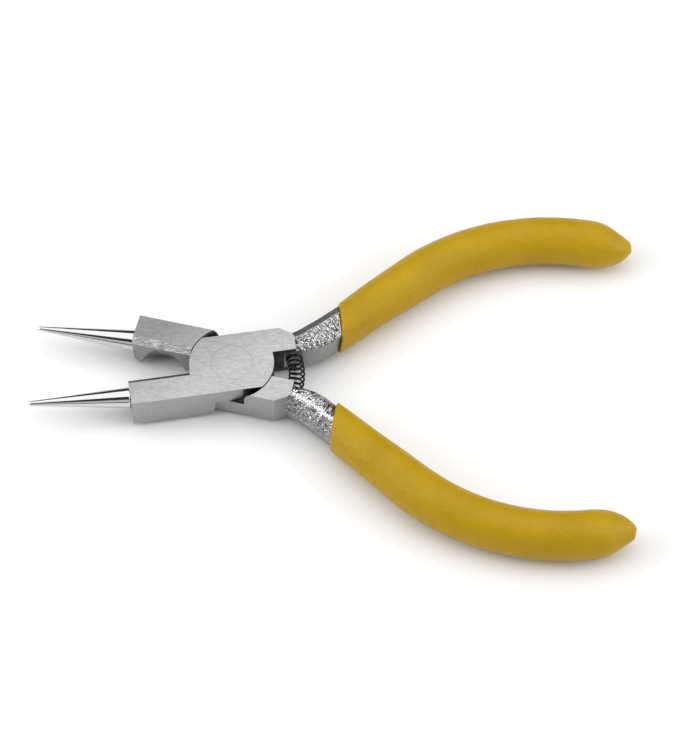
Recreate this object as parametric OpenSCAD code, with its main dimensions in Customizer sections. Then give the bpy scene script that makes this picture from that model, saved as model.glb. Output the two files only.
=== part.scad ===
// Small round nose pliers: two crossing forged halves on a flush pivot rivet,
// a coil return spring between the handle roots and a dipped grip on each handle.
// Each half is drawn with its jaw along -X and its inner face on the closing
// plane y = 0, then turned about the pivot by half of the opening angle.
// The pivot axis is the Z axis and the underside of the head is z = 0.

/* [Opening] */
// Angle between the two jaws as drawn, in degrees
open_angle = 22.7; // [14:0.1:30]

/* [Head] */
// Thickness of the head, both laps together
head_t = 6.8; // [6:0.1:8]
// Radius of each round lap about the pivot
lap_r = 7.95; // [7:0.05:9]
// Distance from the pivot to the long outer edges of the head
head_half_w = 6.25; // [5.6:0.05:6.8]
// Gap between a round lap and the hollow shoulder that turns round it
shoulder_gap = 0.2; // [0.12:0.02:0.4]
// Gap between the faces of the two laps
lap_gap = 0.06; // [0.04:0.01:0.2]
// How far a shoulder leans in under the face, towards the pivot
shoulder_lean = 0.65; // [0.4:0.05:0.8]
// Depth below the face at which that lean ends
shoulder_drop = 2; // [1.4:0.1:2.6]
// How far the edge of a round lap is undercut
lap_lean = 1.3; // [1:0.05:1.5]
// Depth below the face at which that undercut ends
lap_drop = 1.1; // [0.8:0.1:1.4]

/* [Jaws] */
// Distance from the pivot to the front face of the jaw block
jaw_front = 19.6; // [16:0.1:24]
// Distance from the closing plane to the inner face of a jaw
jaw_inset = 0.35; // [0.3:0.05:0.6]
// Rise of the underside of a jaw from the head to its front
jaw_taper = 0.5; // [0.1:0.05:0.8]
// Width of the chamfer along the upper inner edge of a jaw
chamfer_w = 1.2; // [0.6:0.1:1.8]
// Depth of the same chamfer
chamfer_d = 1.2; // [0.6:0.1:1.8]
// Depth of the relief in the inner face of a jaw, at the underside
relief_depth = 2.4; // [1:0.1:2.8]
// Width of the small bevel at the lower front corner of a jaw
corner_bevel = 1.2; // [0.4:0.1:1.6]
// Radius of the tilted round cutter that leaves the relief
relief_r = 5.4; // [4.6:0.1:6]
// Distance from the pivot to the middle of the relief
relief_x = 13.7; // [12.5:0.1:14.5]

/* [Noses] */
// Length of a round nose in front of its jaw block
nose_len = 19; // [14:0.5:24]
// Diameter of a nose at its base
nose_base_d = 4.1; // [3:0.1:4.6]
// Diameter of a nose at its tip
nose_tip_d = 0.9; // [0.6:0.1:1.4]
// Distance from the closing plane to the nose axis at the base
nose_base_y = 2.6; // [2.4:0.05:3.2]
// Distance from the closing plane to the nose axis at the tip
nose_tip_y = 0.95; // [0.9:0.01:1.4]
// Radius of the blend between a nose and its jaw block
nose_blend_r = 0.5; // [0.2:0.1:0.8]

/* [Pivot] */
// Diameter of the rivet between its two heads
rivet_d = 5; // [4:0.1:5.6]
// Diameter of the flush rivet heads
rivet_head_d = 7.7; // [7:0.1:8.4]
// Depth of the coned seat under each rivet head
rivet_head_h = 1.35; // [1:0.05:1.6]
// Running clearance of the rivet in the bottom half
pivot_clearance = 0.04; // [0.02:0.01:0.08]

/* [Handles] */
// Distance from the closing plane to the inner face of a handle root
root_inner_y = 1.15; // [1:0.05:1.6]
// Distance along X from the pivot to the outer corner of a handle root
root_corner_x = 9.8; // [9.2:0.1:10.4]
// Distance along X from the pivot to the end of a handle root
root_end_x = 12.5; // [12.3:0.1:13]
// Radius of the rounded corner at that end
root_end_r = 1.65; // [1.2:0.05:2]
// Heading of the handle where it leaves the head, in degrees
root_heading = 7; // [4:0.5:12]
// Bend radius of the bare shank
shank_bend_r = 21.5; // [18:0.5:26]
// Angle of the bend in the bare shank
shank_bend = 22.5; // [18:0.5:26]
// Length of the straight stretch of the handle
straight_len = 21.6; // [16:0.1:26]
// Bend radius of the palm swell
palm_r = 41.6; // [36:0.1:50]
// Angle of the bend in the palm swell
palm_bend = 52.7; // [44:0.1:58]
// Bend radius of the flicked out grip end
flick_r = 12; // [9:0.5:18]
// Angle of the flicked out grip end
flick_bend = 28; // [10:1:36]

/* [Grips] */
// Distance along X from the pivot to the edge of the grip
grip_start = 21.4; // [19:0.1:26]
// Lean of that edge, in degrees
grip_edge_lean = 4; // [0:0.5:8]
// Radius of the grip at its edge
grip_r_start = 3.8; // [3.7:0.05:4.6]
// Radius of the grip at the palm
grip_r_palm = 4.6; // [4.4:0.05:5.2]

/* [Spring] */
// Distance from the pivot to the middle of the spring
spring_x = 12.1; // [11.8:0.05:12.6]
// Outside diameter of the spring
spring_d = 3.2; // [2.6:0.1:3.4]
// Diameter of the spring wire
spring_wire = 0.42; // [0.36:0.02:0.6]
// Number of turns in the spring
spring_turns = 9; // [6:1:9]
// Diameter of the blind seats that hold the spring
seat_d = 3.8; // [3.5:0.1:4]
// Depth of those seats
seat_depth = 1.6; // [1:0.1:1.8]

/* [Hidden] */

steel = "silver";
dark_steel = "dimgray";
vinyl = "goldenrod";

eps = 0.01;
circle_n = 96;
mid_z = head_t / 2;
shoulder_r = lap_r + shoulder_gap;
half_open = open_angle / 2;

// Where the shank's centreline starts inside the head, and its lengths
root_x = 11;
root_y = 3.15;
root_run = 1.5;
bend_len = shank_bend_r * shank_bend * PI / 180;
palm_len = palm_r * palm_bend * PI / 180;
flick_len = flick_r * flick_bend * PI / 180;
handle_len = bend_len + straight_len + palm_len + flick_len;
tang_len = handle_len - 7;

// Half width and half height of the shank, from the root to the end of the tang
shank_w0 = 2.1;
shank_w1 = 2.85;
shank_h0 = 3.05;
shank_h1 = 2.8;
tang_end_r = 1.7;
// Half width of the shank's inner side, from the root to the grip
shank_in0 = 1.95;
shank_in1 = 3.2;
// How square the shank's section is, from 2 for an ellipse
shank_square = 3.6;

sides = 24;
bare_rings = 10;
shank_rings = 26;
grip_rings = 40;

// A point on an arc that starts at (x, y) with heading h and turns by a at radius r
function arc_point(p, h, r, a) =
    let (s = sign(a))
    [p.x + s * r * (sin(h + a) - sin(h)), p.y - s * r * (cos(h + a) - cos(h))];

// Heading and position of the handle's centreline at a length s from its start
h0 = root_heading;
h1 = h0 + shank_bend;
h2 = h1 - palm_bend;
p0 = [root_x, root_y];
p1 = arc_point(p0, h0, shank_bend_r, shank_bend);
p2 = p1 + straight_len * [cos(h1), sin(h1)];
p3 = arc_point(p2, h1, palm_r, -palm_bend);
s1 = bend_len;
s2 = s1 + straight_len;
s3 = s2 + palm_len;
function turn(len, r) = len / r * 180 / PI;
function heading(s) =
    s < s1 ? h0 + turn(s, shank_bend_r) :
    s < s2 ? h1 :
    s < s3 ? h1 - turn(s - s2, palm_r) : h2 + turn(s - s3, flick_r);
function centre(s) =
    s <= 0 ? p0 + s * [cos(h0), sin(h0)] :
    s < s1 ? arc_point(p0, h0, shank_bend_r, turn(s, shank_bend_r)) :
    s < s2 ? p1 + (s - s1) * [cos(h1), sin(h1)] :
    s < s3 ? arc_point(p2, h1, palm_r, -turn(s - s2, palm_r)) :
    s == s3 ? p3 : arc_point(p3, h2, flick_r, turn(s - s3, flick_r));

// Smooth step from 0 to 1 between a and b
function ease(a, b, x) =
    let (t = max(0, min(1, (x - a) / (b - a))))
    t * t * (3 - 2 * t);
function mix(a, b, t) = a + (b - a) * t;

// One ring of a swept tube: a rounded square at length s on the centreline, with
// half width w outwards and w_in inwards, half height h, and its plane leaned
function ring(s, w, w_in, h, power, lean) =
    let (c = centre(s), d = heading(s))
    [for (k = [0 : sides - 1])
        let (
            a = 360 * k / sides,
            u = (cos(a) > 0 ? w : -w_in) * pow(abs(cos(a)), 2 / power),
            v = h * sign(sin(a)) * pow(abs(sin(a)), 2 / power),
            shift = u * tan(lean)
        )
        [c.x - u * sin(d) + shift * cos(d), c.y + u * cos(d) + shift * sin(d), mid_z + v]];

// The bare shank grows from the root to the grip, and the tang tapers inside the grip
grip_s = s1 + (grip_start - p1.x) / cos(h1);
function shank_w(s) =
    s < grip_s ? mix(shank_w0, shank_w1, ease(0, grip_s, s)) :
    mix(shank_w1, tang_end_r, (s - grip_s) / (tang_len - grip_s));
function shank_h(s) =
    s < grip_s ? mix(shank_h0, shank_h1, ease(0, grip_s, s)) :
    mix(shank_h1, tang_end_r, (s - grip_s) / (tang_len - grip_s));
function shank_in(s) =
    s < grip_s ? mix(shank_in0, shank_in1, ease(-1, 5.5, s)) :
    mix(shank_in1, tang_end_r, (s - grip_s) / (tang_len - grip_s));
function tang_ring(s, lean) =
    ring(s, shank_w(s), shank_in(s), shank_h(s), shank_square, lean);

// The grip's edge leans back towards square over its first stretch
edge_lean = h1 + grip_edge_lean;
lean_run = 9;
swell_len = 24;
function grip_lean(s) = edge_lean * (1 - ease(grip_s, grip_s + lean_run, s));
function grip_r(s) =
    mix(grip_r_start, grip_r_palm, sin(90 * min(1, max(0, s - grip_s) / swell_len))) *
    end_round(handle_len - s);
// The grip's end narrows to a small blunt tip
end_taper = 8.5;
tip_share = 0.16;
function end_round(left) =
    left >= end_taper ? 1 :
    mix(tip_share, 1, pow(sin(90 * left / end_taper), 0.8));

tang_from_grip = [for (i = [0 : shank_rings]) mix(grip_s, tang_len, i / shank_rings)];
grip_lengths = concat(
    [for (i = [0 : grip_rings - 1]) mix(grip_s, handle_len - end_taper, i / grip_rings)],
    [for (i = [0 : 9]) handle_len - end_taper * pow(1 - i / 9, 1.3)]
);

// Faces of a tube of n rings, between ring 0 and ring n - 1
function tube_faces(n) =
    [for (i = [0 : n - 2], k = [0 : sides - 1])
        let (a = i * sides + k, b = i * sides + (k + 1) % sides)
        each [[a, a + sides, b], [b, a + sides, b + sides]]];

// A closed tube through a list of rings
module tube(rings) {
    n = len(rings);
    start_cap = [for (k = [0 : sides - 1]) k];
    end_cap = [for (k = [sides - 1 : -1 : 0]) (n - 1) * sides + k];
    points = [for (r = rings) each r];
    polyhedron(points, concat([start_cap], tube_faces(n), [end_cap]), convexity = 6);
}

// The bare shank, then the tang inside the grip
module shank() {
    bare = [for (i = [0 : bare_rings - 1]) mix(-root_run, grip_s, i / bare_rings)];
    rings = [for (s = bare) tang_ring(s, edge_lean * ease(grip_s - lean_run, grip_s, s))];
    covered = [for (s = tang_from_grip) tang_ring(s, grip_lean(s))];
    tube(concat(rings, covered));
}

// A dipped grip: its outside from edge to tip, then its inside back to the edge
module grip_shell() {
    outer = [for (s = grip_lengths) let (r = grip_r(s)) ring(s, r, r, r, 2, grip_lean(s))];
    inner = [for (i = [shank_rings : -1 : 0])
        tang_ring(tang_from_grip[i], grip_lean(tang_from_grip[i]))];
    n_out = len(outer);
    n = n_out + len(inner);
    tip = n_out - 1;
    walls = [for (i = [0 : n - 2], k = [0 : sides - 1])
        if (i != tip)
            let (a = i * sides + k, b = i * sides + (k + 1) % sides)
            each [[a, a + sides, b], [b, a + sides, b + sides]]];
    tip_cap = [for (k = [sides - 1 : -1 : 0]) tip * sides + k];
    floor_cap = [for (k = [0 : sides - 1]) n_out * sides + k];
    edge = [for (k = [0 : sides - 1])
        let (j = (k + 1) % sides, m = (n - 1) * sides)
        each [[m + k, k, m + j], [m + j, k, j]]];
    points = concat([for (r = outer) each r], [for (r = inner) each r]);
    polyhedron(points, concat(walls, [tip_cap], [floor_cap], edge), convexity = 10);
}

// Outline of the jaw block and the long outer edge of the head
module jaw_outline() {
    translate([-jaw_front, -head_half_w])
        square([jaw_front, head_half_w - jaw_inset]);
}

// Outline of the handle root: an outer corner, a slanting facet and a rounded end
module root_outline() {
    corner = [root_corner_x, head_half_w + 0.1];
    c = [root_end_x - root_end_r, 3.65];
    d = corner - c;
    facet = atan2(d.y, d.x) - acos(root_end_r / norm(d));
    translate(c)
        circle(r = root_end_r, $fn = circle_n);
    polygon([
        [0, root_inner_y],
        [root_end_x - 0.15, root_inner_y],
        [root_end_x, c.y],
        c + root_end_r * [cos(facet), sin(facet)],
        corner,
        [0, corner.y]
    ]);
}

// The band between the head's two straight edges
module lap_width() {
    translate([-lap_r, -head_half_w])
        square([2 * lap_r, 2 * head_half_w + 0.1]);
}

// Section of a round of radius r at its face z = 0, leaning in by lean up to z = drop
module round_section(r, h, lean, drop) {
    polygon([
        [0, -1],
        [r, -1],
        [r, 0],
        [r - 0.45 * lean, 0.2 * drop],
        [r - 0.85 * lean, 0.6 * drop],
        [r - lean, drop],
        [r - lean, h],
        [0, h]
    ]);
}

// The room that the other half's lap turns in, up to just past the head's middle
module lap_room() {
    rotate_extrude($fn = circle_n)
        round_section(shoulder_r, mid_z + lap_gap / 2, shoulder_lean, shoulder_drop);
}

// The flat ground part of a half, with its lap in the upper part of the head
module head_block() {
    difference() {
        linear_extrude(head_t)
            union() {
                jaw_outline();
                root_outline();
            }
        lap_room();
    }
    intersection() {
        translate([0, 0, head_t])
            mirror([0, 0, 1])
                rotate_extrude($fn = circle_n)
                    round_section(lap_r, mid_z - lap_gap / 2, lap_lean, lap_drop);
        linear_extrude(head_t)
            lap_width();
    }
}

// Slope that thins the jaw towards its front
module jaw_underside() {
    run = jaw_front - shoulder_r;
    translate([-shoulder_r, -2 * head_half_w, 0])
        rotate([0, atan2(jaw_taper, run), 0])
            translate([-2 * run, 0, -head_t])
                cube([2 * run, 2 * head_half_w, head_t]);
}

// Chamfer along the upper inner edge of the jaw
module jaw_chamfer() {
    slope = atan2(chamfer_d, chamfer_w);
    long = sqrt(chamfer_d * chamfer_d + chamfer_w * chamfer_w);
    translate([-jaw_front - 1, -jaw_inset, head_t - chamfer_d])
        rotate([-slope + 180, 0, 0])
            translate([0, -1, -3])
                cube([jaw_front + 1 - sqrt(shoulder_r * shoulder_r - 1), long + 2, 3]);
}

// Relief in the inner face, deepest at the underside
module jaw_relief() {
    run = head_t - chamfer_d;
    tilt = atan2(relief_depth, run);
    reach = relief_r / cos(tilt);
    translate([-relief_x, reach - jaw_inset, run])
        rotate([-tilt, 0, 0])
            translate([0, 0, -2 * head_t])
                cylinder(r = relief_r, h = 3 * head_t, $fn = circle_n);
}

// Small bevel at the lower front corner of the inner face, fading upwards
module front_bevel() {
    top = head_t - chamfer_d;
    corner = [-jaw_front, -jaw_inset, 0];
    far = 3;
    polyhedron(
        [
            corner + [-eps, eps, top],
            corner + [-eps, -corner_bevel / 2, -eps],
            corner + [corner_bevel, eps, -eps],
            corner + [-far, far, -eps]
        ],
        [[0, 2, 1], [0, 1, 3], [0, 3, 2], [1, 2, 3]]
    );
}

// The round nose with a small blend at its base and a rounded tip
module nose() {
    run = nose_base_y - nose_tip_y;
    lean = atan2(run, nose_len);
    base_r = nose_base_d / 2;
    tip_r = nose_tip_d / 2;
    long = sqrt(nose_len * nose_len + run * run);
    overlap = 1;
    grow = (base_r - tip_r) / long;
    blend_r = base_r + nose_blend_r * 0.3;
    translate([-jaw_front, -nose_base_y, mid_z])
        rotate([0, -90, 0])
            rotate([-lean, 0, 0])
                rotate_extrude($fn = circle_n)
                    polygon([
                        [0, -overlap],
                        [base_r * 0.6, -overlap],
                        [base_r * 0.8, 0],
                        [blend_r, 0],
                        [base_r + nose_blend_r * 0.1, nose_blend_r * 0.4],
                        [base_r - grow * nose_blend_r, nose_blend_r],
                        [tip_r, long - tip_r],
                        [tip_r * 0.7, long - tip_r * 0.3],
                        [0, long]
                    ]);
}

// Blind seat for one end of the spring
module spring_seat() {
    translate([spring_x, root_inner_y + seat_depth, mid_z])
        rotate([90, 0, 0])
            cylinder(d = seat_d, h = seat_depth + 2, $fn = circle_n);
}

// Hole for the rivet through the upper lap, with the seat of its head
module pivot_hole(gap) {
    hole_r = rivet_d / 2 + gap;
    head_r = rivet_head_d / 2 + gap;
    translate([0, 0, -1])
        cylinder(r = hole_r, h = head_t + 2, $fn = circle_n);
    translate([0, 0, head_t - rivet_head_h])
        cylinder(r1 = hole_r, r2 = head_r, h = rivet_head_h, $fn = circle_n);
    translate([0, 0, head_t - eps])
        cylinder(r = head_r, h = 1, $fn = circle_n);
}

// One forged half as the upper lap has it, on the closing plane
module forging(upper) {
    difference() {
        union() {
            if (upper)
                head_block();
            else
                translate([0, 0, head_t])
                    mirror([0, 0, 1])
                        head_block();
            nose();
            shank();
        }
        jaw_chamfer();
        jaw_relief();
        front_bevel();
        jaw_underside();
        spring_seat();
        if (upper)
            pivot_hole(0);
        else
            translate([0, 0, head_t])
                mirror([0, 0, 1])
                    pivot_hole(pivot_clearance);
    }
}

// Turns a piece of the top half to its open place
module open_top() {
    rotate(half_open)
        children();
}

// Turns a piece of the bottom half, which is the mirror image, to its open place
module open_bottom() {
    rotate(-half_open)
        mirror([0, 1, 0])
            children();
}

module top_half() {
    color(steel)
        open_top()
            forging(true);
}

module bottom_half() {
    color(steel)
        open_bottom()
            forging(false);
}

module pivot_rivet() {
    r = rivet_d / 2;
    head_r = rivet_head_d / 2;
    color(steel)
        rotate_extrude($fn = circle_n)
            polygon([
                [0, 0],
                [head_r, 0],
                [r, rivet_head_h],
                [r, head_t - rivet_head_h],
                [head_r, head_t],
                [0, head_t]
            ]);
}

// The spring's coils lie along an arc about the pivot, and its end turns stop
// just short of the seat floors
spring_sides = 6;
steps_per_turn = 14;
spring_steps = spring_turns * steps_per_turn;
seat_floor_angle = atan2(root_inner_y + seat_depth, spring_x) + half_open;
wire_angle = (spring_wire / 2 + 0.25) / spring_x * 180 / PI;
spring_half_angle = seat_floor_angle - wire_angle;
coil_r = (spring_d - spring_wire) / 2;
// The turns spread evenly along the arc
function coil_place(t) = mix(-1, 1, t) * spring_half_angle;
function coil_point(t, r) =
    let (
        a = coil_place(t),
        w = 360 * spring_turns * t,
        out = spring_x + r * cos(w)
    )
    [out * cos(a), out * sin(a), mid_z + r * sin(w)];

module return_spring() {
    rings = [for (i = [0 : spring_steps])
        let (
            t = i / spring_steps,
            a = coil_place(t),
            w = 360 * spring_turns * t,
            c = coil_point(t, coil_r),
            radial = [cos(w) * cos(a), cos(w) * sin(a), sin(w)],
            along = [-sin(a), cos(a), 0]
        )
        [for (k = [0 : spring_sides - 1])
            let (b = 360 * k / spring_sides)
            c + spring_wire / 2 * (cos(b) * radial + sin(b) * along)]];
    n = len(rings);
    points = [for (r = rings) each r];
    walls = [for (i = [0 : n - 2], k = [0 : spring_sides - 1])
        let (a = i * spring_sides + k, b = i * spring_sides + (k + 1) % spring_sides)
        each [[a, a + spring_sides, b], [b, a + spring_sides, b + spring_sides]]];
    start_cap = [for (k = [0 : spring_sides - 1]) k];
    end_cap = [for (k = [spring_sides - 1 : -1 : 0]) (n - 1) * spring_sides + k];
    color(dark_steel)
        polyhedron(points, concat([start_cap], walls, [end_cap]), convexity = 20);
}

module top_grip() {
    color(vinyl)
        open_top()
            grip_shell();
}

module bottom_grip() {
    color(vinyl)
        open_bottom()
            grip_shell();
}

top_half();
bottom_half();
pivot_rivet();
return_spring();
top_grip();
bottom_grip();
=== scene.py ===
"""Small round nose pliers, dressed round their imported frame.

Each half is drawn in its own frame, in millimetres, with its jaw along -X and its inner
face on the closing plane y = 0, then turned to its open place in the row frame.
"""
import math

import bmesh
import bpy
import numpy as np
from mathutils import Matrix, Vector, noise


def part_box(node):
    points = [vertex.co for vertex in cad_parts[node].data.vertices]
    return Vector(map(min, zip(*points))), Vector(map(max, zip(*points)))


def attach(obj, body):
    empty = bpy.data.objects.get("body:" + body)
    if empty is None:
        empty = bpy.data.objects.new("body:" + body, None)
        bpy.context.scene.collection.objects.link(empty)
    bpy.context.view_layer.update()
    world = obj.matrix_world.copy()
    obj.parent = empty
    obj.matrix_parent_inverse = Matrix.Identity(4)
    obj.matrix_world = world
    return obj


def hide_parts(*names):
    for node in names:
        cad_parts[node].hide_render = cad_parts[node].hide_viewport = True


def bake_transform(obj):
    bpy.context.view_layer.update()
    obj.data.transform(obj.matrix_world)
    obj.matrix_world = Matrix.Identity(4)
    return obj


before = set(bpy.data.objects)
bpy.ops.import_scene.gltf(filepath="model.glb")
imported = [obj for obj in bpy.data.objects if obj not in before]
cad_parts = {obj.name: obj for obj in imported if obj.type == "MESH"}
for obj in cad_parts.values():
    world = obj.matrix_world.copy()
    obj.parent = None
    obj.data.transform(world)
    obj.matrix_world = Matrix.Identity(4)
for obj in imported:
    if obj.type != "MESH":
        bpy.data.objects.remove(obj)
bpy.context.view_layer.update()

MM = 0.001
UPPER = "upper_lap_side"
LOWER = "lower_lap_side"

# The head, in millimetres, as the CAD has it
HALF_OPEN = math.radians(22.7 / 2)
HEAD_T = 6.8
MID_Z = HEAD_T / 2
HALF_W = 6.25
LAP_R = 7.95
SHOULDER_R = 8.15
LAP_GAP = 0.06
SHOULDER_LEAN, SHOULDER_DROP = 0.65, 2.0
LAP_LEAN, LAP_DROP = 1.3, 1.1
JAW_FRONT = 19.6
JAW_INSET = 0.35
ROOT_INNER = 1.15
ROOT_END_X = 12.5
ROOT_END_R = 1.65
ROOT_END_Y = 3.65
ROOT_CORNER_X = 9.8
CHAMFER = 1.2
RELIEF_DEPTH = 2.4
RELIEF_R = 5.4
RELIEF_X = 13.7
TAPER = 0.5
RIVET_R = 3.85
COUNTERSINK = 1.35
SEAT_X = 12.1
SEAT_R = 1.9
SEAT_DEPTH = 1.6
EDGE = 0.14
FINE = 160

scene = bpy.context.scene


# ---------------------------------------------------------------- mesh tools

def new_object(name, verts, faces):
    mesh = bpy.data.meshes.new(name)
    mesh.from_pydata([tuple(v) for v in verts], [], [tuple(f) for f in faces])
    mesh.update()
    obj = bpy.data.objects.new(name, mesh)
    scene.collection.objects.link(obj)
    return obj


def drop(obj):
    mesh = obj.data
    bpy.data.objects.remove(obj)
    bpy.data.meshes.remove(mesh)


def bake_modifiers(obj):
    """Keeps what the modifiers make as the object's own mesh."""
    graph = bpy.context.evaluated_depsgraph_get()
    mesh = bpy.data.meshes.new_from_object(obj.evaluated_get(graph))
    obj.modifiers.clear()
    old = obj.data
    obj.data = mesh
    bpy.data.meshes.remove(old)


def combine(obj, tool, operation):
    """Cuts, joins or keeps the overlap of obj with tool, and drops the tool."""
    mod = obj.modifiers.new("combine", "BOOLEAN")
    mod.object = tool
    mod.operation = operation
    mod.solver = "EXACT"
    bake_modifiers(obj)
    drop(tool)


def prism(name, outline, z0, z1):
    """A flat outline, counterclockwise from above, pulled up from z0 to z1."""
    n = len(outline)
    verts = [(x, y, z0) for x, y in outline] + [(x, y, z1) for x, y in outline]
    faces = [list(range(n - 1, -1, -1)), list(range(n, 2 * n))]
    faces += [(i, (i + 1) % n, n + (i + 1) % n, n + i) for i in range(n)]
    return new_object(name, verts, faces)


def long_prism(name, section, x0, x1):
    """A (y, z) section, counterclockwise from +X, pulled along X from x0 to x1."""
    n = len(section)
    verts = [(x0, y, z) for y, z in section] + [(x1, y, z) for y, z in section]
    faces = [list(range(n - 1, -1, -1)), list(range(n, 2 * n))]
    faces += [(i, (i + 1) % n, n + (i + 1) % n, n + i) for i in range(n)]
    return new_object(name, verts, faces)


def lathe(name, profile, n=FINE):
    """A closed solid of revolution about Z from (radius, z) points, low z to high z."""
    verts, rings = [], []
    for r, z in profile:
        if r < 1e-9:
            rings.append([len(verts)])
            verts.append((0, 0, z))
        else:
            rings.append(list(range(len(verts), len(verts) + n)))
            verts += [
                (r * math.cos(2 * math.pi * k / n), r * math.sin(2 * math.pi * k / n), z)
                for k in range(n)
            ]
    faces = []
    for a, b in zip(rings, rings[1:]):
        for k in range(n):
            m = (k + 1) % n
            if len(a) == 1 and len(b) > 1:
                faces.append((a[0], b[m], b[k]))
            elif len(b) == 1 and len(a) > 1:
                faces.append((a[k], a[m], b[0]))
            elif len(a) > 1:
                faces.append((a[k], a[m], b[m], b[k]))
    return new_object(name, verts, faces)


def to_row_frame(obj, side):
    """Turns a half's piece to its open place, in metres. Side is 1 or -1."""
    flip = Matrix.Diagonal((1, side, 1, 1))
    turn = Matrix.Rotation(side * HALF_OPEN, 4, "Z")
    obj.data.transform(Matrix.Scale(MM, 4) @ turn @ flip)
    if side < 0:
        obj.data.flip_normals()
    obj.data.update()


def shade(obj, angle=32):
    obj.data.shade_smooth()
    obj.data.set_sharp_from_angle(angle=math.radians(angle))


def weighted(obj):
    mod = obj.modifiers.new("normals", "WEIGHTED_NORMAL")
    mod.keep_sharp = True
    mod.weight = 60


def smooth_step(a, b, x):
    t = np.clip((np.asarray(x, float) - a) / (b - a), 0, 1)
    return t * t * (3 - 2 * t)


# ---------------------------------------------------------------- the ground head

def arc(cx, cy, r, a0, a1, n):
    return [
        (cx + r * math.cos(a), cy + r * math.sin(a)) for a in np.linspace(a0, a1, n)
    ]


def lap_profile(r, top, bottom, lean, depth):
    """A round section with its wide face at z = top, leaning in behind that face."""
    sign = 1 if top > bottom else -1
    steps = [(0, 0), (0.45, 0.2), (0.7, 0.4), (0.85, 0.6), (1, 1)]
    points = [(r - lean * a, top - sign * depth * b) for a, b in steps]
    points.append((r - lean, bottom))
    return points


def head_mesh(name, upper):
    jaw = [
        (-JAW_FRONT, -HALF_W),
        (0, -HALF_W),
        (0, -JAW_INSET),
        (-JAW_FRONT, -JAW_INSET),
    ]
    top_y = HALF_W + 0.1
    cx = ROOT_END_X - ROOT_END_R
    away = (ROOT_CORNER_X - cx, top_y - ROOT_END_Y)
    facet = math.atan2(away[1], away[0]) - math.acos(ROOT_END_R / math.hypot(*away))
    root = [(0, ROOT_INNER), (ROOT_END_X - 0.15, ROOT_INNER)]
    root += arc(cx, ROOT_END_Y, ROOT_END_R, 0, facet, 24)
    root += [(ROOT_CORNER_X, top_y), (0, top_y)]
    body = prism(name, jaw, 0, HEAD_T)
    combine(body, prism("root", root, 0, HEAD_T), "UNION")
    # the room for the other lap, then this half's own lap
    floor = MID_Z + LAP_GAP / 2
    room = lap_profile(SHOULDER_R, 0, floor, SHOULDER_LEAN, SHOULDER_DROP)
    room = [(0, -1), (SHOULDER_R, -1)] + room + [(0, floor)]
    combine(body, lathe("room", room), "DIFFERENCE")
    lap = lap_profile(LAP_R, HEAD_T, floor, LAP_LEAN, LAP_DROP)[::-1]
    lap = [(0, floor)] + lap + [(0, HEAD_T)]
    disc = lathe("lap", lap)
    band = [(-9, -HALF_W), (9, -HALF_W), (9, top_y), (-9, top_y)]
    combine(disc, prism("band", band, 1, HEAD_T + 1), "INTERSECT")
    combine(body, disc, "UNION")
    if not upper:
        body.data.transform(
            Matrix.Translation((0, 0, HEAD_T)) @ Matrix.Diagonal((1, 1, -1, 1))
        )
        body.data.flip_normals()
    cut_jaw(body)
    # blind seat of the spring, and the countersunk hole of the rivet
    seat = lathe("seat", [(0, -3), (SEAT_R, -3), (SEAT_R, SEAT_DEPTH), (0, SEAT_DEPTH)], 64)
    seat.data.transform(
        Matrix.Translation((SEAT_X, ROOT_INNER, MID_Z)) @ Matrix.Rotation(-math.pi / 2, 4, "X")
    )
    combine(body, seat, "DIFFERENCE")
    r = RIVET_R + 0.012
    hole = [(0, -1), (r, -1), (r, 0), (2.55, COUNTERSINK)]
    hole += [(2.55, HEAD_T - COUNTERSINK), (r, HEAD_T), (r, HEAD_T + 1), (0, HEAD_T + 1)]
    combine(body, lathe("hole", hole), "DIFFERENCE")
    return body


def cut_jaw(body):
    # chamfer along the upper inner edge
    along = Vector((-1, 1)) / math.sqrt(2)
    out = Vector((1, 1)) / math.sqrt(2)
    low = Vector((-JAW_INSET, HEAD_T - CHAMFER))
    high = low + along * CHAMFER * math.sqrt(2)
    section = [low - along, low - along + out * 3, high + along + out * 3, high + along]
    end = -math.sqrt(SHOULDER_R * SHOULDER_R - 1)
    combine(body, long_prism("chamfer", section, -JAW_FRONT - 1, end), "DIFFERENCE")
    # round relief, deepest at the underside
    run = HEAD_T - CHAMFER
    tilt = math.atan2(RELIEF_DEPTH, run)
    relief = lathe(
        "relief", [(0, -14), (RELIEF_R, -14), (RELIEF_R, 7), (0, 7)]
    )
    middle = (-RELIEF_X, RELIEF_R / math.cos(tilt) - JAW_INSET, run)
    relief.data.transform(Matrix.Translation(middle) @ Matrix.Rotation(-tilt, 4, "X"))
    combine(body, relief, "DIFFERENCE")
    # small bevel at the lower front corner, fading upwards
    x, y, top = -JAW_FRONT, -JAW_INSET, HEAD_T - CHAMFER
    corner = [
        (x - 0.01, y + 0.01, top),
        (x - 0.01, y - 0.6, -0.01),
        (x + 1.2, y + 0.01, -0.01),
        (x - 3, y + 3, -0.01),
    ]
    faces = [(0, 1, 2), (0, 3, 1), (0, 2, 3), (1, 3, 2)]
    combine(body, new_object("corner", corner, faces), "DIFFERENCE")
    # slope that thins the jaw towards its front
    length = JAW_FRONT - SHOULDER_R
    slope = [(-SHOULDER_R, 0), (-SHOULDER_R, -3), (-SHOULDER_R - 2 * length, -3)]
    slope.append((-SHOULDER_R - 2 * length, 2 * TAPER))
    verts = [(x, -14, z) for x, z in slope] + [(x, 14, z) for x, z in slope]
    faces = [(0, 1, 2, 3), (7, 6, 5, 4)]
    faces += [((i + 1) % 4, i, 4 + i, 4 + (i + 1) % 4) for i in range(4)]
    combine(body, new_object("slope", verts, faces), "DIFFERENCE")


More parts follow.
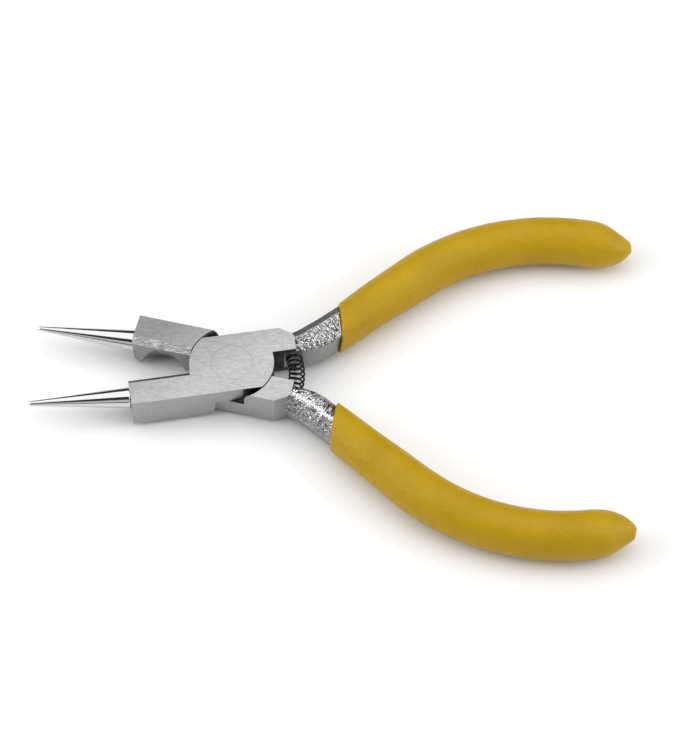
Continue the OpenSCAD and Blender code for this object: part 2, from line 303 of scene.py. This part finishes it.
def soften_edges(obj, width, angle=26):
    """Merges flat neighbours, then breaks the sharp edges by width."""
    bm = bmesh.new()
    bm.from_mesh(obj.data)
    bmesh.ops.remove_doubles(bm, verts=bm.verts, dist=0.004)
    bmesh.ops.dissolve_degenerate(bm, edges=bm.edges, dist=0.004)
    bmesh.ops.dissolve_limit(
        bm,
        angle_limit=math.radians(0.4),
        verts=bm.verts,
        edges=bm.edges,
        use_dissolve_boundaries=False,
    )
    bmesh.ops.recalc_face_normals(bm, faces=bm.faces)
    bm.to_mesh(obj.data)
    bm.free()
    mod = obj.modifiers.new("edges", "BEVEL")
    mod.width = width
    mod.segments = 2
    mod.limit_method = "ANGLE"
    mod.angle_limit = math.radians(angle)
    mod.use_clamp_overlap = True
    mod.miter_outer = "MITER_ARC"
    bake_modifiers(obj)


# ---------------------------------------------------------------- swept handles

ROOT = np.array([11.0, 3.15])
ROOT_HEADING = math.radians(7)
BEND_R = 21.5
BEND = math.radians(22.5)
STRAIGHT = 21.6
PALM_R = 41.6
PALM = math.radians(52.7)
FLICK_R = 12.0
FLICK = math.radians(28)
GRIP_START = 21.4


def handle_path():
    """Length, position and heading along the handle's centreline, at 0.05 mm steps."""
    pieces = [(BEND_R * BEND, 1 / BEND_R), (STRAIGHT, 0), (PALM_R * PALM, -1 / PALM_R)]
    pieces.append((FLICK_R * FLICK, 1 / FLICK_R))
    step = 0.05
    total = sum(length for length, _ in pieces)
    s = np.arange(-3, total + step, step)
    curve = np.zeros_like(s)
    start = 0.0
    for length, bend in pieces:
        inside = (s >= start) & (s < start + length)
        curve[inside] = bend
        start += length
    # the bends run into each other softly
    kernel = np.ones(41) / 41
    curve = np.convolve(np.pad(curve, 20, "edge"), kernel, "valid")
    heading = np.concatenate([[0], np.cumsum((curve[1:] + curve[:-1]) / 2 * step)])
    at_root = np.interp(0, s, heading)
    heading += ROOT_HEADING - at_root
    x = np.concatenate([[0], np.cumsum(np.cos((heading[1:] + heading[:-1]) / 2) * step)])
    y = np.concatenate([[0], np.cumsum(np.sin((heading[1:] + heading[:-1]) / 2) * step)])
    x += ROOT[0] - np.interp(0, s, x)
    y += ROOT[1] - np.interp(0, s, y)
    return s, x, y, heading, total


PATH_S, PATH_X, PATH_Y, PATH_H, HANDLE_LEN = handle_path()
GRIP_S = float(np.interp(GRIP_START, PATH_X, PATH_S))
HEADING_AT_GRIP = float(np.interp(GRIP_S, PATH_S, PATH_H))


def section(w_out, w_in, up, down, powers, count):
    """A closed section of evenly spaced (u, v) points, from the outer side upwards.

    powers gives how square the corners are: outer top, inner top, inner low, outer low.
    """
    a = np.linspace(0, 2 * math.pi, 1440, endpoint=False)
    quadrant = (a // (math.pi / 2)).astype(int) % 4
    p = np.array(powers)[quadrant]
    w = np.where(np.cos(a) > 0, w_out, w_in)
    h = np.where(np.sin(a) > 0, up, down)
    u = w * np.sign(np.cos(a)) * np.abs(np.cos(a)) ** (2 / p)
    v = h * np.sign(np.sin(a)) * np.abs(np.sin(a)) ** (2 / p)
    u2, v2 = np.append(u, u[0]), np.append(v, v[0])
    d = np.concatenate([[0], np.cumsum(np.hypot(np.diff(u2), np.diff(v2)))])
    t = np.linspace(0, d[-1], count, endpoint=False)
    return np.interp(t, d, u2), np.interp(t, d, v2)


def ring(s, uv, lean, z_shift=0.0, bow=0.0):
    """Points of a section at length s, its plane leaned back and bowed along the handle."""
    u, v = uv
    x = float(np.interp(s, PATH_S, PATH_X))
    y = float(np.interp(s, PATH_S, PATH_Y))
    h = float(np.interp(s, PATH_S, PATH_H))
    along = u * math.tan(lean) + bow * v
    px = x - u * math.sin(h) + along * math.cos(h)
    py = y + u * math.cos(h) + along * math.sin(h)
    return np.stack([px, py, MID_Z + z_shift + v], 1)


def tube(name, rings, close_start=True, close_end=True):
    n = len(rings[0])
    verts = np.concatenate(rings)
    faces = []
    for i in range(len(rings) - 1):
        for k in range(n):
            a, b = i * n + k, i * n + (k + 1) % n
            faces.append((a, b, b + n, a + n))
    if close_start:
        faces.append(list(range(n - 1, -1, -1)))
    if close_end:
        faces.append([(len(rings) - 1) * n + k for k in range(n)])
    return new_object(name, verts, faces)


def shank_sizes(s):
    """Outer and inner half width, then upper and lower half height at length s."""
    outer = 1.95 + 0.75 * float(smooth_step(0, 7, s))
    inner = 1.95 + 1.3 * float(smooth_step(-1, 5.5, s))
    height = 3.05 - 0.25 * float(smooth_step(0, GRIP_S, s))
    hidden = 1 - 0.14 * float(smooth_step(GRIP_S + 0.1, GRIP_S + 0.9, s))
    return outer * hidden, inner * hidden, (height - 0.1) * hidden, (height + 0.05) * hidden


def shank_mesh(name, seed, band, powers):
    """The plated shank, forged with slanting bumps between smooth edges.

    band is the width of a smooth slope along the outer top, or 0 where the bumps
    wrap round that edge and end above the bottom.
    """
    count, rings = 280, []
    end = GRIP_S + 3
    for s in np.arange(-1.2, end, 0.062):
        wo, wi, up, down = shank_sizes(s)
        u, v = section(wo, wi, up, down, powers, count)
        lean = (HEADING_AT_GRIP + 0.07) * float(smooth_step(GRIP_S - 8, GRIP_S, s))
        crease = wo - band
        if band:
            v = np.minimum(v, up - 0.29 * np.maximum(u - crease, 0))
            rough = (1 - smooth_step(crease - 0.15, crease + 0.1, u)) * (v > 0)
            rough *= smooth_step(-wi, -wi + 0.12, u)
        else:
            v = np.where(v > 0, v - 0.08 * (u / wo) ** 2, v)
            rough = smooth_step(-1.5, -0.9, v) * smooth_step(-wi + 0.3, -wi + 0.7, u)
            # worn flatter along the crest
            rough *= 1 - 0.7 * np.exp(-(((u - 0.35) / 0.7) ** 2))
        rough *= 1 - smooth_step(GRIP_S - 0.3, GRIP_S + 0.3, s)
        points = ring(s, (u, v), lean)
        size = np.maximum(np.hypot(u / wo, v / up), 1e-6)
        nu, nv = (0 * u, 0 * v + 1) if band else (u / wo / size, v / up / size)
        h = float(np.interp(s, PATH_S, PATH_H))
        bump = np.zeros(count)
        for k in np.nonzero(rough > 0.01)[0]:
            w = u[k] - v[k] if v[k] < up - 0.3 and u[k] > 0 else u[k] - up
            slant = s + 0.38 * w
            ripple = noise.noise(Vector((slant * 3.9, w * 0.8, seed)))
            fine = noise.noise(Vector((slant * 5.2, w * 2.2, seed + 9)))
            swell = noise.noise(Vector((slant * 1.1, w * 0.8, seed + 30)))
            bump[k] = 0.33 * ripple + 0.13 * fine + 0.06 * swell - 0.12
        bump *= rough
        points[:, 0] += -nu * math.sin(h) * bump
        points[:, 1] += nu * math.cos(h) * bump
        points[:, 2] += nv * bump
        rings.append(points)
    return tube(name, rings)


def grip_radius(s):
    swell = math.sin(math.pi / 2 * min(1, max(0, s - GRIP_S) / 24))
    left = HANDLE_LEN - s
    round_end = 1.0
    if left < 8.5:
        round_end = 0.02 + 0.98 * math.sin(math.pi / 2 * max(left, 0) / 8.5) ** 0.62
    return (3.8 + 0.8 * swell) * round_end


def grip_mesh(name, seed, bow, corners):
    """A dipped grip with a rolled rim that closes on the shank."""
    count, rings = 144, []
    roll = 0.42
    ends = HANDLE_LEN - 0.45
    body = np.arange(GRIP_S + 0.45, ends - 5, 0.33)
    tip = ends - 5 * (1 - np.linspace(0, 1, 34)) ** 1.6
    stations = [(GRIP_S + 0.7, 1.35), (GRIP_S + 0.12, 1.2), (GRIP_S + 0.03, 0.8)]
    stations += [
        (GRIP_S + roll * (1 - math.cos(t)), roll * (1 - math.sin(t)))
        for t in np.linspace(0, math.pi / 2, 8)
    ]
    stations += [(s, 0.0) for s in np.concatenate([body, tip])]
    for s, depth in stations:
        r = grip_radius(max(s, GRIP_S)) - depth
        near = 1 - float(smooth_step(GRIP_S, GRIP_S + 9, s))
        powers = [2 + (corner - 2) * near for corner in corners]
        u, v = section(r - 0.1 * near, r + 0.1 * near, r - 0.1 * near, r - 0.2 * near, powers, count)
        lean = (HEADING_AT_GRIP + math.radians(4)) * near
        points = ring(s, (u, v), lean, bow=bow * near)
        fade = min(1, r / 2)
        h = float(np.interp(s, PATH_S, PATH_H))
        for k in range(count):
            p = Vector(points[k])
            wave = 0.05 * noise.noise(p * 0.16 + Vector((seed, 0, 0)))
            wave += 0.022 * noise.noise(p * 0.75 + Vector((0, seed, 0)))
            wave = (wave - 0.045) * fade
            size = max(math.hypot(u[k], v[k]), 1e-6)
            points[k, 0] += -u[k] / size * math.sin(h) * wave
            points[k, 1] += u[k] / size * math.cos(h) * wave
            points[k, 2] += v[k] / size * wave
        rings.append(points)
    return tube(name, rings, close_start=False)


# ---------------------------------------------------------------- noses and spring

def nose_mesh(name, base_d, tip_d):
    """The polished round nose, with a small fillet at its base and a rounded tip."""
    length, base_y, tip_y = 18.98, 2.6, 0.95
    run = base_y - tip_y
    slope = math.atan2(run, length)
    long = math.hypot(length, run)
    r0, r1 = base_d / 2, tip_d / 2
    fillet = 0.3
    profile = [(0, -1.0), (r0 * 0.8, -1.0), (r0 * 0.9, -0.1)]
    for t in np.linspace(0, 1, 7):
        a = t * math.pi / 2
        grow = fillet * (1 - math.sin(a)) * 0.6
        profile.append((r0 + grow - (r0 - r1) * fillet * t / long, fillet * (1 - math.cos(a))))
    for t in np.linspace(fillet / long, 1 - r1 / long, 44)[1:]:
        profile.append((r0 + (r1 - r0) * t, t * long))
    for a in np.linspace(0, math.pi / 2, 9)[1:]:
        profile.append((r1 * math.cos(a) if a < 1.57 else 0, long - r1 + r1 * math.sin(a)))
    nose = lathe(name, profile, 128)
    place = Matrix.Translation((-JAW_FRONT, -base_y, MID_Z))
    place = place @ Matrix.Rotation(-math.pi / 2, 4, "Y") @ Matrix.Rotation(-slope, 4, "X")
    nose.data.transform(place)
    return nose


def spring_mesh(name):
    """The coil on its arc about the pivot, from one blind seat to the other."""
    turns, per_turn, sides = 9.4, 40, 12
    wire, outside = 0.36, 3.2
    floor = math.atan2(ROOT_INNER + SEAT_DEPTH, SEAT_X) + HALF_OPEN
    reach = floor - (wire / 2 + 0.45) / SEAT_X
    r = (outside - wire) / 2
    steps = int(turns * per_turn)
    t = np.arange(steps + 1) / steps
    u = 2 * t - 1
    a = reach * (u + 0.12 * np.sin(math.pi * u) / math.pi)
    w = 2 * math.pi * turns * t + 0.9
    out = SEAT_X + 0.08 - 0.2 * u + r * np.cos(w)
    centre = np.stack([out * np.cos(a), out * np.sin(a), MID_Z + r * np.sin(w)], 1)
    tangent = np.gradient(centre, axis=0)
    tangent /= np.linalg.norm(tangent, axis=1)[:, None]
    radial = np.stack([np.cos(w) * np.cos(a), np.cos(w) * np.sin(a), np.sin(w)], 1)
    side = np.cross(tangent, radial)
    side /= np.linalg.norm(side, axis=1)[:, None]
    radial = np.cross(side, tangent)
    rings = []
    for i in range(steps + 1):
        b = 2 * math.pi * np.arange(sides) / sides
        spread = np.outer(np.cos(b), radial[i]) + np.outer(np.sin(b), side[i])
        rings.append(centre[i] + wire / 2 * spread)
    return tube(name, rings)


def rivet_mesh(name):
    """The flush rivet, its heads' edges softened into a hairline ring."""
    soft = 0.035
    r, z, s = RIVET_R, COUNTERSINK, 2.5
    half = [(0, 0), (r - soft, 0), (r - 0.3 * soft, 0.3 * soft), (r - 0.01, soft), (s, z)]
    profile = half + [(a, HEAD_T - b) for a, b in half[::-1]]
    return lathe(name, profile)


# ---------------------------------------------------------------- materials

def material(name, colour, metallic, roughness, specular=0.5):
    mat = bpy.data.materials.new(name)
    mat.use_nodes = True
    shader = mat.node_tree.nodes["Principled BSDF"]
    shader.inputs["Base Color"].default_value = (*colour, 1)
    shader.inputs["Metallic"].default_value = metallic
    shader.inputs["Roughness"].default_value = roughness
    shader.inputs["Specular IOR Level"].default_value = specular
    return mat, mat.node_tree, shader


def coords(tree, scale, angle=0.0):
    nodes, links = tree.nodes, tree.links
    place = nodes.new("ShaderNodeTexCoord")
    mapping = nodes.new("ShaderNodeMapping")
    mapping.inputs["Rotation"].default_value = (0, 0, angle)
    mapping.inputs["Scale"].default_value = scale
    links.new(place.outputs["Object"], mapping.inputs["Vector"])
    return mapping.outputs["Vector"]


def noise_node(tree, vector, scale, detail=3.0, rough=0.5):
    node = tree.nodes.new("ShaderNodeTexNoise")
    node.inputs["Scale"].default_value = scale
    node.inputs["Detail"].default_value = detail
    node.inputs["Roughness"].default_value = rough
    tree.links.new(vector, node.inputs["Vector"])
    return node.outputs["Fac"]


def ramp(tree, value, low, high, dark, light):
    node = tree.nodes.new("ShaderNodeValToRGB")
    node.color_ramp.elements[0].position = low
    node.color_ramp.elements[1].position = high
    node.color_ramp.elements[0].color = (*dark, 1)
    node.color_ramp.elements[1].color = (*light, 1)
    tree.links.new(value, node.inputs["Fac"])
    return node.outputs["Color"]


def spread(tree, value, low, high):
    node = tree.nodes.new("ShaderNodeMapRange")
    node.inputs["From Min"].default_value = 0.3
    node.inputs["From Max"].default_value = 0.7
    node.inputs["To Min"].default_value = low
    node.inputs["To Max"].default_value = high
    tree.links.new(value, node.inputs["Value"])
    return node.outputs["Result"]


def bump(tree, height, strength, distance, normal=None):
    node = tree.nodes.new("ShaderNodeBump")
    node.inputs["Strength"].default_value = strength
    node.inputs["Distance"].default_value = distance
    tree.links.new(height, node.inputs["Height"])
    if normal is not None:
        tree.links.new(normal, node.inputs["Normal"])
    return node.outputs["Normal"]


def ground_steel():
    """Satin ground faces, evenly grained and a little darker towards the upper jaw, that darkening
    being painted shade for the light's falloff.
    """
    mat, tree, shader = material("ground_steel", (0.5, 0.5, 0.5), 1.0, 0.36)
    grain = noise_node(tree, coords(tree, (800, 3000, 3000), math.radians(-28)), 1.0, 4, 0.65)
    cloud = noise_node(tree, coords(tree, (1, 1, 1)), 900, 3, 0.6)
    mix = tree.nodes.new("ShaderNodeMix")
    mix.inputs["Factor"].default_value = 0.35
    tree.links.new(grain, mix.inputs["A"])
    tree.links.new(cloud, mix.inputs["B"])
    value = mix.outputs["Result"]
    colour = ramp(tree, value, 0.34, 0.66, (0.35, 0.35, 0.35), (0.53, 0.53, 0.53))
    # painted shade: the base colour is scaled down to 0.56 towards the upper left, a painted falloff
    # of the light
    place = tree.nodes.new("ShaderNodeTexCoord")
    dot = tree.nodes.new("ShaderNodeVectorMath")
    dot.operation = "DOT_PRODUCT"
    dot.inputs[1].default_value = (-0.583, 0.812, 0)
    tree.links.new(place.outputs["Object"], dot.inputs[0])
    painted_falloff = tree.nodes.new("ShaderNodeMapRange")
    painted_falloff.inputs["From Min"].default_value = -0.001
    painted_falloff.inputs["From Max"].default_value = 0.0135
    painted_falloff.inputs["To Min"].default_value = 1.0
    painted_falloff.inputs["To Max"].default_value = 0.56
    tree.links.new(dot.outputs["Value"], painted_falloff.inputs["Value"])
    scale = tree.nodes.new("ShaderNodeVectorMath")
    scale.operation = "SCALE"
    tree.links.new(colour, scale.inputs[0])
    tree.links.new(painted_falloff.outputs["Result"], scale.inputs["Scale"])
    tree.links.new(scale.outputs["Vector"], shader.inputs["Base Color"])
    tree.links.new(spread(tree, value, 0.31, 0.42), shader.inputs["Roughness"])
    tree.links.new(bump(tree, grain, 0.35, 0.00002), shader.inputs["Normal"])
    return mat


def dark_steel():
    """Walls between the laps and inside the roots, painted near black as painted shade for these
    hollows.
    """
    mat, tree, shader = material("dark_steel", (0.05, 0.05, 0.05), 1.0, 0.5)
    cloud = noise_node(tree, coords(tree, (1, 1, 1)), 900, 4, 0.6)
    colour = ramp(tree, cloud, 0.35, 0.65, (0.03, 0.03, 0.03), (0.12, 0.12, 0.12))
    tree.links.new(colour, shader.inputs["Base Color"])
    tree.links.new(spread(tree, cloud, 0.42, 0.6), shader.inputs["Roughness"])
    tree.links.new(bump(tree, cloud, 0.4, 0.00004), shader.inputs["Normal"])
    return mat


def coarse_steel(name, low, high):
    """A hand ground chamfer, with coarse slanting marks between two tones; the tones are painted
    light, a bright painted highlight in one copy and painted shade in the other.
    """
    mat, tree, shader = material(name, (high, high, high), 1.0, 0.45)
    marks = noise_node(tree, coords(tree, (900, 3400, 3400), math.radians(38)), 1.0, 3, 0.65)
    colour = ramp(tree, marks, 0.38, 0.6, (low, low, low), (high, high, high))
    tree.links.new(colour, shader.inputs["Base Color"])
    tree.links.new(spread(tree, marks, 0.36, 0.52), shader.inputs["Roughness"])
    tree.links.new(bump(tree, marks, 0.8, 0.00009), shader.inputs["Normal"])
    return mat


def polished_steel():
    mat, tree, shader = material("polished_steel", (0.62, 0.62, 0.62), 1.0, 0.07)
    rings = noise_node(tree, coords(tree, (1500, 260, 260)), 1.0, 3, 0.55)
    waves = noise_node(tree, coords(tree, (1, 1, 1)), 900, 2, 0.5)
    tree.links.new(spread(tree, rings, 0.04, 0.11), shader.inputs["Roughness"])
    normal = bump(tree, rings, 0.35, 0.00002)
    tree.links.new(bump(tree, waves, 0.3, 0.00002, normal), shader.inputs["Normal"])
    return mat


def plated_steel(name, low, high):
    """Bright plating over the forged bumps, mottled between two tones."""
    mat, tree, shader = material(name, (high, high, high), 1.0, 0.16)
    pits = noise_node(tree, coords(tree, (1, 1, 1)), 4200, 3, 0.6)
    colour = ramp(tree, pits, 0.38, 0.62, (low, low, low), (high, high, high))
    tree.links.new(colour, shader.inputs["Base Color"])
    tree.links.new(spread(tree, pits, 0.08, 0.18), shader.inputs["Roughness"])
    tree.links.new(bump(tree, pits, 0.4, 0.00002), shader.inputs["Normal"])
    return mat


def satin_steel(name, low, high):
    """Evenly ground sides, without a visible grain."""
    mat, tree, shader = material(name, (high, high, high), 1.0, 0.34)
    grain = noise_node(tree, coords(tree, (1, 1, 1)), 1600, 3, 0.5)
    colour = ramp(tree, grain, 0.3, 0.7, (low, low, low), (high, high, high))
    tree.links.new(colour, shader.inputs["Base Color"])
    tree.links.new(spread(tree, grain, 0.32, 0.42), shader.inputs["Roughness"])
    tree.links.new(bump(tree, grain, 0.2, 0.00002), shader.inputs["Normal"])
    return mat


def dipped_vinyl():
    mat, tree, shader = material("dipped_vinyl", (0.44, 0.27, 0.003), 0.0, 0.42, 0.22)
    peel = noise_node(tree, coords(tree, (1, 1, 1)), 1300, 2, 0.5)
    broad = noise_node(tree, coords(tree, (1, 1, 1)), 120, 2, 0.5)
    colour = ramp(tree, broad, 0.3, 0.7, (0.41, 0.25, 0.002), (0.47, 0.293, 0.003))
    tree.links.new(colour, shader.inputs["Base Color"])
    tree.links.new(spread(tree, peel, 0.36, 0.5), shader.inputs["Roughness"])
    tree.links.new(bump(tree, peel, 1.0, 0.00017), shader.inputs["Normal"])
    return mat


def black_wire():
    mat, tree, shader = material("black_wire", (0.06, 0.06, 0.06), 1.0, 0.2)
    scale = noise_node(tree, coords(tree, (1, 1, 1)), 2400, 3, 0.5)
    colour = ramp(tree, scale, 0.3, 0.7, (0.012, 0.012, 0.012), (0.05, 0.05, 0.05))
    tree.links.new(colour, shader.inputs["Base Color"])
    tree.links.new(spread(tree, scale, 0.16, 0.34), shader.inputs["Roughness"])
    return mat


# ---------------------------------------------------------------- the tool

GROUND = ground_steel()
# painted shade for the walls, undercuts, lap floors, root faces and seat
PAINTED_SHADE = dark_steel()
# the chamfer's bright copy is a painted highlight, its dark copy painted shade
CHAMFER_PAINTED_HIGHLIGHT = coarse_steel("coarse_steel", 0.42, 0.98)
CHAMFER_PAINTED_SHADE = coarse_steel("chamfer_painted_shade_steel", 0.09, 0.17)
POLISHED = polished_steel()
PLATED = plated_steel("plated_steel", 0.18, 0.56)
# a brighter copy of the plating, a painted highlight for the streak along the crest
CREST_PAINTED_HIGHLIGHT = plated_steel("plating_painted_highlight", 0.4, 0.95)
SATIN = satin_steel("satin_steel", 0.27, 0.35)
# a brighter copy of the satin steel, painted light on the outward sides
SIDE_PAINTED_LIGHT = satin_steel("side_steel_painted_light", 0.33, 0.39)
VINYL = dipped_vinyl()
WIRE = black_wire()


def mark_faces(head, side):
    """Picks the hollows that get painted shade, the chamfer with its painted highlight on one half
    and painted shade on the other, and the sides with painted light, by where they lie in the half.
    """
    mesh = head.data
    mesh.materials.clear()
    for mat in (GROUND, PAINTED_SHADE, CHAMFER_PAINTED_HIGHLIGHT, SATIN, CHAMFER_PAINTED_SHADE, SIDE_PAINTED_LIGHT):
        mesh.materials.append(mat)
    for face in mesh.polygons:
        c, n = face.center, face.normal
        radius = math.hypot(c.x, c.y)
        steep = abs(n.z) < 0.9
        wall = steep and radius < SHOULDER_R + 0.05 and n.x * c.x + n.y * c.y < -0.1 * radius
        undercut = steep and 5.5 < radius < LAP_R - 0.3 and abs(c.y) < HALF_W - 0.05
        root = n.y < -0.9 and 6.5 < c.x < ROOT_END_X + 0.1 and c.y > 1.0
        bore = 7 < c.x and c.y > ROOT_INNER + 0.05 and abs(c.y) < ROOT_INNER + SEAT_DEPTH + 0.1
        inside = bore and abs(c.z - MID_Z) < SEAT_R and abs(c.x - SEAT_X) < SEAT_R + 0.05
        floor = abs(n.z) > 0.9 and abs(c.z - MID_Z) < 0.2
        chamfer = n.y > 0.5 and n.z > 0.5 and c.x < -SHOULDER_R + 1 and c.y > -2
        # painted shade on the walls between the laps, the undercuts, the root's inner face, the
        # spring's seat and the lap floors
        if wall or undercut or root or inside or floor:
            face.material_index = 1
        # the chamfer is painted bright as a highlight on the bottom half and dark as shade on the
        # top half
        elif chamfer:
            face.material_index = 2 if side < 0 else 4
        elif n.y > 0.3 and c.x < -SHOULDER_R + 1 and abs(n.z) < 0.7:
            face.material_index = 3
        # the other steep faces take the brighter satin copy, painted light
        elif abs(n.z) < 0.4:
            face.material_index = 5


def mark_shank(shank, band):
    """Bright plating over the bumps, with a painted highlight on a brighter band along the crest,
    and satin on the smooth sides.
    """
    mesh = shank.data
    mesh.materials.append(PLATED)
    mesh.materials.append(SATIN)
    mesh.materials.append(CREST_PAINTED_HIGHLIGHT)
    for face in mesh.polygons:
        c, n = face.center, face.normal
        s = float(np.interp(c.x, PATH_X, PATH_S))
        x, y = float(np.interp(s, PATH_S, PATH_X)), float(np.interp(s, PATH_S, PATH_Y))
        h = float(np.interp(s, PATH_S, PATH_H))
        for _ in range(3):
            s += (c.x - x) * math.cos(h) + (c.y - y) * math.sin(h)
            x, y = float(np.interp(s, PATH_S, PATH_X)), float(np.interp(s, PATH_S, PATH_Y))
            h = float(np.interp(s, PATH_S, PATH_H))
        u = -(c.x - x) * math.sin(h) + (c.y - y) * math.cos(h)
        v = c.z - MID_Z
        wo, wi, _, _ = shank_sizes(min(s, GRIP_S))
        if band:
            bumpy = v > 1.5 and -wi + 0.05 < u < wo - band + 0.05
        else:
            bumpy = v > -1.3 and u > -wi + 0.3
        face.material_index = 0 if bumpy else 1
        ragged = 0.5 * noise.noise(c * 1.6) + 0.35 * noise.noise(c * 5)
        # a ragged band along the crest of the lower shank gets the painted highlight
        if bumpy and not band and v > 1 and abs(u - 0.35 + ragged) < 0.52:
            face.material_index = 2


def finish_piece(obj, mat, body, nodes=()):
    if mat:
        obj.data.materials.clear()
        obj.data.materials.append(mat)
    if body:
        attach(obj, body)
    if nodes:
        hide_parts(*nodes)
    return obj


def build_half(prefix, side, body, nose_d, tip_d, seed, bow, band, powers, corners):
    head = head_mesh(prefix + "_head", side > 0)
    soften_edges(head, EDGE)
    mark_faces(head, side)
    to_row_frame(head, side)
    shade(head)
    weighted(head)
    finish_piece(head, None, body, [prefix + "_half"])

    nose = nose_mesh(prefix + "_nose", nose_d, tip_d)
    to_row_frame(nose, side)
    shade(nose, 50)
    finish_piece(nose, POLISHED, body)

    shank = shank_mesh(prefix + "_shank", seed, band, powers)
    mark_shank(shank, band)
    to_row_frame(shank, side)
    shade(shank, 50)
    finish_piece(shank, None, body)

    grip = grip_mesh(prefix + "_grip_coat", seed, bow, corners)
    to_row_frame(grip, side)
    shade(grip, 60)
    finish_piece(grip, VINYL, body, [prefix + "_grip"])


build_half(
    "top", 1, UPPER, 4.0, 0.9, 3.0, 0.16, 1.45, (9, 12, 8, 8), (2.2, 3.1, 3.4, 3.0)
)
build_half(
    "bottom", -1, LOWER, 4.2, 0.75, 14.0, 0.0, 0.0, (2.2, 2.3, 8, 9), (2.1, 2.2, 3.3, 3.2)
)

rivet = rivet_mesh("rivet")
rivet.data.transform(Matrix.Scale(MM, 4))
shade(rivet, 15)
finish_piece(rivet, GROUND, UPPER, ["pivot_rivet"])

spring = spring_mesh("spring_coil")
spring.data.transform(Matrix.Scale(MM, 4))
shade(spring, 60)
finish_piece(spring, WIRE, None, ["return_spring"])
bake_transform(spring)


# ---------------------------------------------------------------- floor, light, camera

def floor_plane():
    low = min(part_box("top_grip")[0].z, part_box("bottom_grip")[0].z)
    size = 1.6
    verts = [(-size, -size, low), (size, -size, low), (size, size, low), (-size, size, low)]
    floor = new_object("floor", verts, [(0, 1, 2, 3)])
    mat, tree, shader = material("pale_floor", (0.9, 0.9, 0.9), 0.0, 0.7, 0.2)
    floor.data.materials.append(mat)


def softbox(name, place, target, size_x, size_y, watts):
    light = bpy.data.lights.new(name, "AREA")
    light.shape = "RECTANGLE"
    light.size = size_x
    light.size_y = size_y
    light.energy = watts
    obj = bpy.data.objects.new(name, light)
    scene.collection.objects.link(obj)
    obj.location = place
    obj.rotation_euler = (Vector(target) - Vector(place)).to_track_quat("-Z", "Y").to_euler()


def studio():
    world = bpy.data.worlds.new("studio")
    scene.world = world
    world.use_nodes = True
    back = world.node_tree.nodes["Background"]
    back.inputs["Color"].default_value = (1, 1, 1, 1)
    back.inputs["Strength"].default_value = 0.05
    middle = Vector((0.02, 0, 0))
    # a wide overhead light leaning in from behind, a low one in front, one on each side
    softbox("top_light", middle + Vector((0, 0.14, 0.585)), middle, 2.0, 0.86, 8.0)
    softbox("front_light", middle + Vector((0, -0.83, 0.34)), middle, 2.2, 0.42, 1.9)
    softbox("left_light", middle + Vector((-0.82, -0.1, 0.42)), middle, 0.7, 0.45, 3.6)
    softbox("right_light", middle + Vector((0.82, -0.1, 0.42)), middle, 0.7, 0.45, 3.6)
    scene.view_settings.view_transform = "Standard"
    scene.view_settings.look = "None"


def camera():
    data = bpy.data.cameras.new("camera")
    data.sensor_width = 36
    data.sensor_fit = "AUTO"
    data.lens = 131.95
    data.clip_start = 0.05
    data.clip_end = 20
    obj = bpy.data.objects.new("camera", data)
    scene.collection.objects.link(obj)
    place = Vector((32.66, -284.25, 439.99)) * MM
    target = Vector((21.26, -0.42, 3.4)) * MM
    back = (place - target).normalized()
    right = Vector((0.99919, 0.04013, 0))
    right = (right - back * right.dot(back)).normalized()
    up = back.cross(right)
    turn = Matrix((right, up, back)).transposed().to_4x4()
    obj.matrix_world = Matrix.Translation(place) @ turn
    scene.camera = obj


floor_plane()
studio()
camera()
